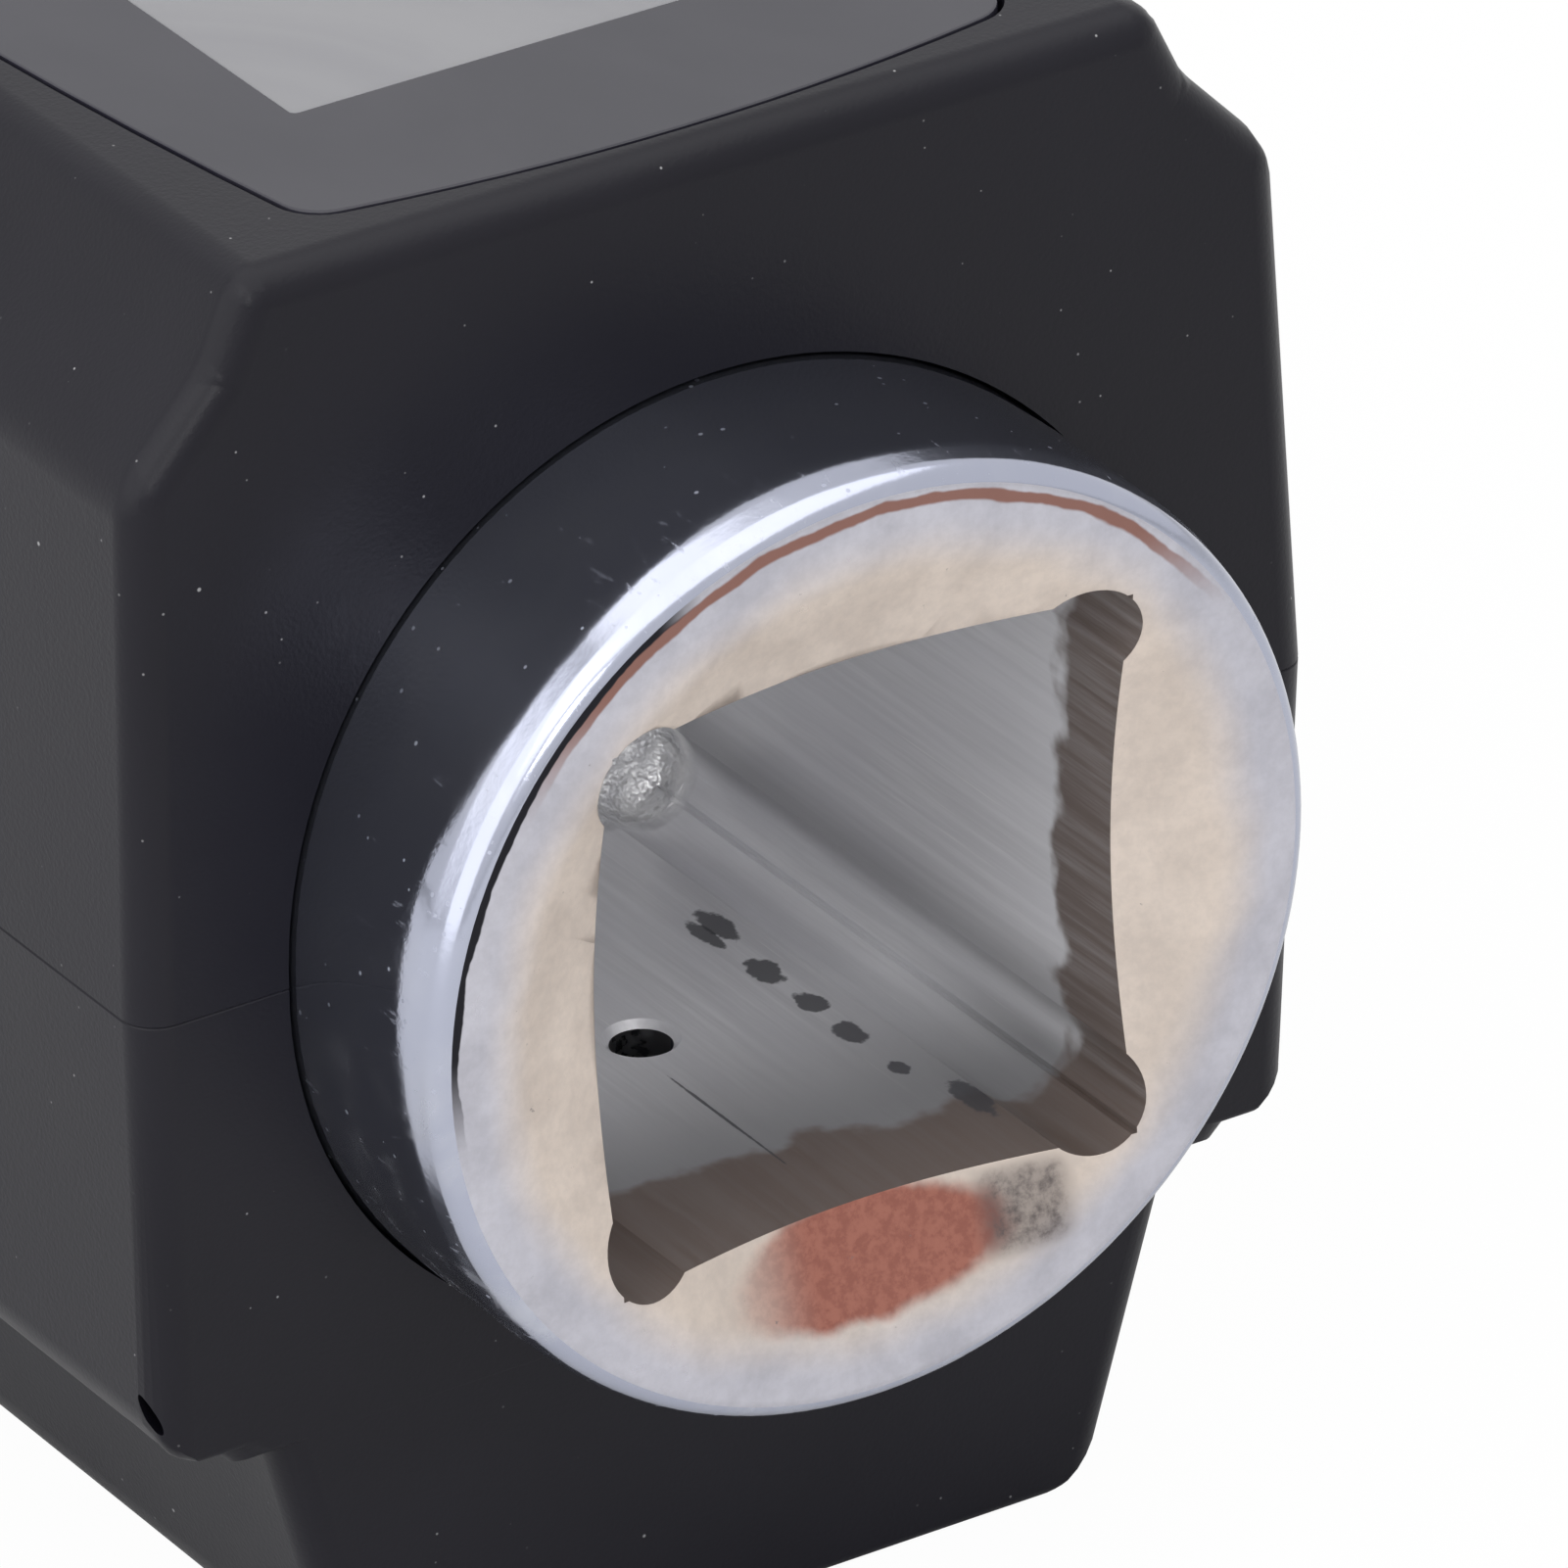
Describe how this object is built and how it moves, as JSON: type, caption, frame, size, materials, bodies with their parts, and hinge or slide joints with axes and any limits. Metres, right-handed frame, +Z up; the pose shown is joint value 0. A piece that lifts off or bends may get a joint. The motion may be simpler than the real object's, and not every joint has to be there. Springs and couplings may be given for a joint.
{
  "type": "digital torque adapter",
  "caption": "Square drive adapter with a housing that shows the torque passing from its female square to its male square, with push buttons and a sliding battery door.",
  "frame": {"origin": "centre of the female end face, on the drive axis", "axes": "+Y along the drive axis from the female square to the male square, +Z up out of the display, +X to the right seen from the female end"},
  "size_m": [0.044, 0.105, 0.0534],
  "materials": {
    "polished_steel": "polished hard chrome plate, brighter and smoother on the head",
    "ball_steel": "polished bearing ball",
    "spring_steel": "drawn wire",
    "gauge_foil": "etched foil on amber film",
    "gauge_cover": "matte potting sleeve",
    "plug_plastic": "moulded nylon",
    "housing_plastic": "fine satin spark texture, near black",
    "panel_gloss": "smooth gloss, dark grey",
    "adhesive": "double sided tape",
    "window_clear": "clear flat window",
    "lcd": "grey reflective liquid crystal cell",
    "white_plastic": "white moulded plastic",
    "strip_rubber": "striped silicone",
    "board_green": "green solder mask",
    "screw_steel": "dark plated steel",
    "chip_plastic": "moulded epoxy",
    "lens_red": "tinted clear light pipe",
    "button_plastic": "satin dark grey",
    "cell_jacket": "printed jacket, bare steel ends",
    "contact_plate": "nickel plated strip",
    "wire_red": "insulated wire",
    "wire_black": "insulated wire"
  },
  "bodies": {
    "housing": {"torque_body": "polished_steel", "detent_spring": "spring_steel", "strain_gauges": "gauge_foil", "gauge_cover": "gauge_cover", "gauge_harness": "wire_red", "gauge_plug": "plug_plastic", "upper_shell": "housing_plastic", "lower_shell": "housing_plastic", "display_panel": "panel_gloss", "panel_adhesive": "adhesive", "display_window": "window_clear", "lcd_glass": "lcd", "lcd_frame": "white_plastic", "backlight_panel": "white_plastic", "contact_strips": "strip_rubber", "main_board": "board_green", "board_screws": "screw_steel", "measuring_chips": "chip_plastic", "board_parts": "chip_plastic", "buzzer": "chip_plastic", "status_led": "white_plastic", "status_lens": "lens_red", "switch_cases": "chip_plastic", "left_cell": "cell_jacket", "right_cell": "cell_jacket", "plus_contact": "contact_plate", "minus_contact": "contact_plate", "bridge_contact": "contact_plate", "minus_spring": "spring_steel", "bridge_spring": "spring_steel", "red_lead": "wire_red", "black_lead": "wire_black", "housing_screws": "screw_steel"},
    "ball": {"detent_ball": "ball_steel"},
    "door": {"battery_door": "housing_plastic"},
    "power": {"power_button": "button_plastic", "power_plunger": "plug_plastic"},
    "unit": {"unit_button": "button_plastic", "unit_plunger": "plug_plastic"},
    "plus": {"plus_button": "button_plastic", "plus_plunger": "plug_plastic"},
    "minus": {"minus_button": "button_plastic", "minus_plunger": "plug_plastic"}
  },
  "joints": [
    {"name": "power_press", "type": "slide", "parent": "housing", "child": "power", "axis": [0, 0, -1], "range_m": [0, 0.0003], "stiffness_N_per_m": 900, "springref_m": -0.0005},
    {"name": "unit_press", "type": "slide", "parent": "housing", "child": "unit", "axis": [0, 0, -1], "range_m": [0, 0.0003], "stiffness_N_per_m": 900, "springref_m": -0.0005},
    {"name": "plus_press", "type": "slide", "parent": "housing", "child": "plus", "axis": [0, 0, -1], "range_m": [0, 0.0003], "stiffness_N_per_m": 900, "springref_m": -0.0005},
    {"name": "minus_press", "type": "slide", "parent": "housing", "child": "minus", "axis": [0, 0, -1], "range_m": [0, 0.0003], "stiffness_N_per_m": 900, "springref_m": -0.0005},
    {"name": "ball_press", "type": "slide", "parent": "housing", "child": "ball", "axis": [0, 0, -1], "range_m": [0, 0.0011], "stiffness_N_per_m": 3000, "springref_m": -0.001, "deforming": ["detent_spring"]},
    {"name": "door_slide", "type": "slide", "parent": "housing", "child": "door", "axis": [0, 1, 0], "range_m": [0, 0.064]}
  ]
}
